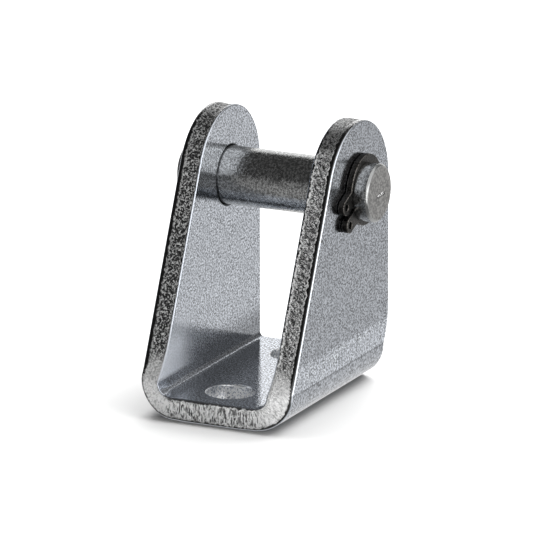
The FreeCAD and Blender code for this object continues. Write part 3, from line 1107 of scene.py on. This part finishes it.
def ring_piece(name, ring, side, finish):
    """A stamped ring set in its groove, on the right where side is 1 and on the left where it is -1."""
    curve = ring_curve(name, ring)
    drawn = bpy.data.objects.new(name, curve)
    mesh = bpy.data.meshes.new_from_object(drawn)
    bpy.data.objects.remove(drawn)
    bpy.data.curves.remove(curve)
    co = np.zeros(len(mesh.vertices) * 3)
    mesh.vertices.foreach_get("co", co)
    flat = co.reshape(-1, 3)
    cos, sin = math.cos(ring.gap_angle), math.sin(ring.gap_angle)
    x = side * RING_X + flat[:, 2]
    y = PIN_Y + flat[:, 0] * cos - flat[:, 1] * sin
    z = PIN_Z + flat[:, 0] * sin + flat[:, 1] * cos
    mesh.vertices.foreach_set("co", np.stack([x, y, z], -1).ravel())
    mesh.name = name
    mesh.materials.clear()
    mesh.materials.append(finish)
    piece = bpy.data.objects.new(name, mesh)
    bpy.context.scene.collection.objects.link(piece)
    below_face = (RING_THICKNESS / 2 - np.abs(flat[:, 2])) / ring.edge_radius
    add_values(piece, "rubbed", (below_face > 0.1) & (below_face < 0.9))
    return piece


class OBJECT_OT_bracket_sheet(bpy.types.Operator):
    """Add the folded sheet with its sheared edges and punched holes"""

    bl_idname = "object.bracket_sheet"
    bl_label = "Folded sheet"

    def execute(self, context):
        finish = zinc_finish(context.scene.bracket_colours)
        mesh = SheetMesh(context.scene.bracket_sheet)
        normals = np.concatenate(mesh.normals)
        piece = new_piece("folded_sheet", mesh.places(), mesh.faces, finish, normals, mesh.values())
        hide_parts("clevis_bracket")
        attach(piece, "bracket")
        return {"FINISHED"}


class OBJECT_OT_turned_pin(bpy.types.Operator):
    """Add the turned pivot pin"""

    bl_idname = "object.turned_pin"
    bl_label = "Pivot pin"

    def execute(self, context):
        finish = pin_finish(context.scene.bracket_colours)
        points, faces, values = pin_mesh(context.scene.turned_pin)
        piece = new_piece("turned_pivot_pin", points, faces, finish, values=values)
        piece.data.set_sharp_from_angle(angle=SHARP_ANGLE)
        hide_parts("pivot_pin")
        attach(piece, "pin")
        return {"FINISHED"}


class OBJECT_OT_retaining_rings(bpy.types.Operator):
    """Add the retaining ring at each end of the pin"""

    bl_idname = "object.retaining_rings"
    bl_label = "Retaining rings"

    def execute(self, context):
        finish = ring_finish(context.scene.bracket_colours)
        for side, word in ((1, "right"), (-1, "left")):
            piece = ring_piece("stamped_ring_" + word, context.scene.retaining_ring, side, finish)
            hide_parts("retaining_ring_" + word)
            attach(piece, "pin")
        return {"FINISHED"}


def studio_world():
    """Light from all round: a bright wall behind, dim elsewhere, as in a bright-field product shot."""
    world = bpy.data.worlds.new("studio")
    bpy.context.scene.world = world
    world.use_nodes = True
    tree = world.node_tree
    direction = add(tree, "ShaderNodeTexCoord").outputs["Generated"]
    x, y, z = split(direction)

    # The wall is dimmer on the right, where a box of light hangs over it.
    rear_wall = product(
        ramp(y, 0.25, 0.7), ramp(z, 0.66, 0.46), ramp(x, 0.15, -0.08, 0.23, 1.08), ramp(z, -0.20, -0.05))
    above_wall = maths("SUBTRACT", z, ramp(y, 0.2, 0.7, 0.0, 0.35))
    top_box = product(ramp(x, 0.10, 0.30), ramp(above_wall, 0.15, 0.40), 1.1)
    front_strip = product(ramp(y, -0.89, -0.905), 0.25)

    # The right panel is bright towards the front and above the horizon, and dim elsewhere.
    low_side = product(ramp(z, 0.40, 0.2), ramp(z, -0.5, -0.35))
    edge_light = maths("MAXIMUM", ramp(y, -0.24, -0.34), ramp(z, -0.04, 0.04))
    strength = ramp(edge_light, 0.0, 1.0, 0.75, 2.7)
    right_panel = product(ramp(x, 0.78, 0.86), low_side, strength)
    left_panel = product(ramp(x, -0.76, -0.88), ramp(z, -0.02, -0.10), 0.5)
    bright_floor = product(ramp(z, -0.03, -0.32), ramp(y, -0.1, 0.5, 0.2, 0.76))
    total = maths("ADD", rear_wall, 0.06)
    for part in (top_box, front_strip, right_panel, left_panel, bright_floor):
        total = maths("ADD", total, part)
    feed(tree.nodes["Background"], "Color", total)


def studio_floor(colour):
    """A matt floor just under the part, which the metal doesn't mirror."""
    finish, shader = new_finish("studio_floor")
    matt = {"Metallic": 0.0, "Roughness": 0.9, "Specular IOR Level": 0.0, "Base Color": shade(colour, 1.0)}
    for name, value in matt.items():
        shader.inputs[name].default_value = value
    size = FLOOR_HALF_WIDTH
    corners = [(x, y, -FLOOR_GAP) for x, y in ((-size, -size), (size, -size), (size, size), (-size, size))]
    floor = new_piece("studio_floor", corners, [(0, 1, 2, 3)], finish)
    floor.visible_glossy = False
    return floor


def key_light(scene, power, floor):
    """A soft light from behind that lights the floor only, for the part's shadow."""
    lamp = bpy.data.lights.new("key_light", "AREA")
    lamp.size = KEY_SIZE
    lamp.energy = power
    key = bpy.data.objects.new("key_light", lamp)
    key.location = KEY_PLACE
    key.rotation_euler = Vector(KEY_PLACE).to_track_quat("Z", "Y").to_euler()
    scene.collection.objects.link(key)
    lit = bpy.data.collections.new("lit_by_key")
    lit.objects.link(floor)
    key.light_linking.receiver_collection = lit


def studio_camera(scene, studio):
    """A camera at the studio's angle and distance."""
    azimuth, elevation = studio.camera_azimuth, studio.camera_elevation
    back = Vector((
        math.sin(azimuth) * math.cos(elevation), -math.cos(azimuth) * math.cos(elevation),
        math.sin(elevation)))
    lens = bpy.data.cameras.new("camera")
    lens.lens = studio.lens
    lens.sensor_width = SENSOR_WIDTH
    lens.clip_start = 0.01
    lens.clip_end = 20.0
    camera = bpy.data.objects.new("camera", lens)
    camera.location = Vector(studio.aim) + back * studio.camera_distance
    camera.rotation_euler = back.to_track_quat("Z", "Y").to_euler()
    scene.collection.objects.link(camera)
    scene.camera = camera


class OBJECT_OT_bracket_stage(bpy.types.Operator):
    """Add the pale floor, the studio light and the camera"""

    bl_idname = "object.bracket_stage"
    bl_label = "Stage"

    def execute(self, context):
        scene = context.scene
        studio = scene.bracket_studio
        scene.view_settings.view_transform = "Standard"
        studio_world()
        floor = studio_floor(scene.bracket_colours.floor)
        key_light(scene, studio.key_power, floor)
        studio_camera(scene, studio)
        return {"FINISHED"}


class VIEW3D_PT_hinge_bracket(bpy.types.Panel):
    """Lists the bracket's pieces, sizes and colours"""

    bl_idname = "VIEW3D_PT_hinge_bracket"
    bl_label = "Hinge Bracket"
    bl_space_type = "VIEW_3D"
    bl_region_type = "UI"
    bl_category = "Hinge Bracket"

    def draw(self, context):
        for operator in OPERATORS:
            self.layout.operator(operator)
        for group, kind in GROUPS.items():
            for name in kind.__annotations__:
                self.layout.prop(getattr(context.scene, group), name)


OPERATORS = ("object.bracket_sheet", "object.turned_pin", "object.retaining_rings", "object.bracket_stage")

GROUPS = {
    "bracket_sheet": BracketSheet,
    "turned_pin": TurnedPin,
    "retaining_ring": RetainingRing,
    "bracket_colours": BracketColours,
    "bracket_studio": BracketStudio,
}

CLASSES = (
    *GROUPS.values(),
    OBJECT_OT_bracket_sheet,
    OBJECT_OT_turned_pin,
    OBJECT_OT_retaining_rings,
    OBJECT_OT_bracket_stage,
    VIEW3D_PT_hinge_bracket,
)


def register():
    for cls in CLASSES:
        bpy.utils.register_class(cls)
    for name, group in GROUPS.items():
        setattr(bpy.types.Scene, name, PointerProperty(type=group))


def unregister():
    for name in GROUPS:
        delattr(bpy.types.Scene, name)
    for cls in reversed(CLASSES):
        bpy.utils.unregister_class(cls)


def main():
    register()
    bpy.ops.object.bracket_sheet()
    bpy.ops.object.turned_pin()
    bpy.ops.object.retaining_rings()
    bpy.ops.object.bracket_stage()


if __name__ == "__main__":
    main()
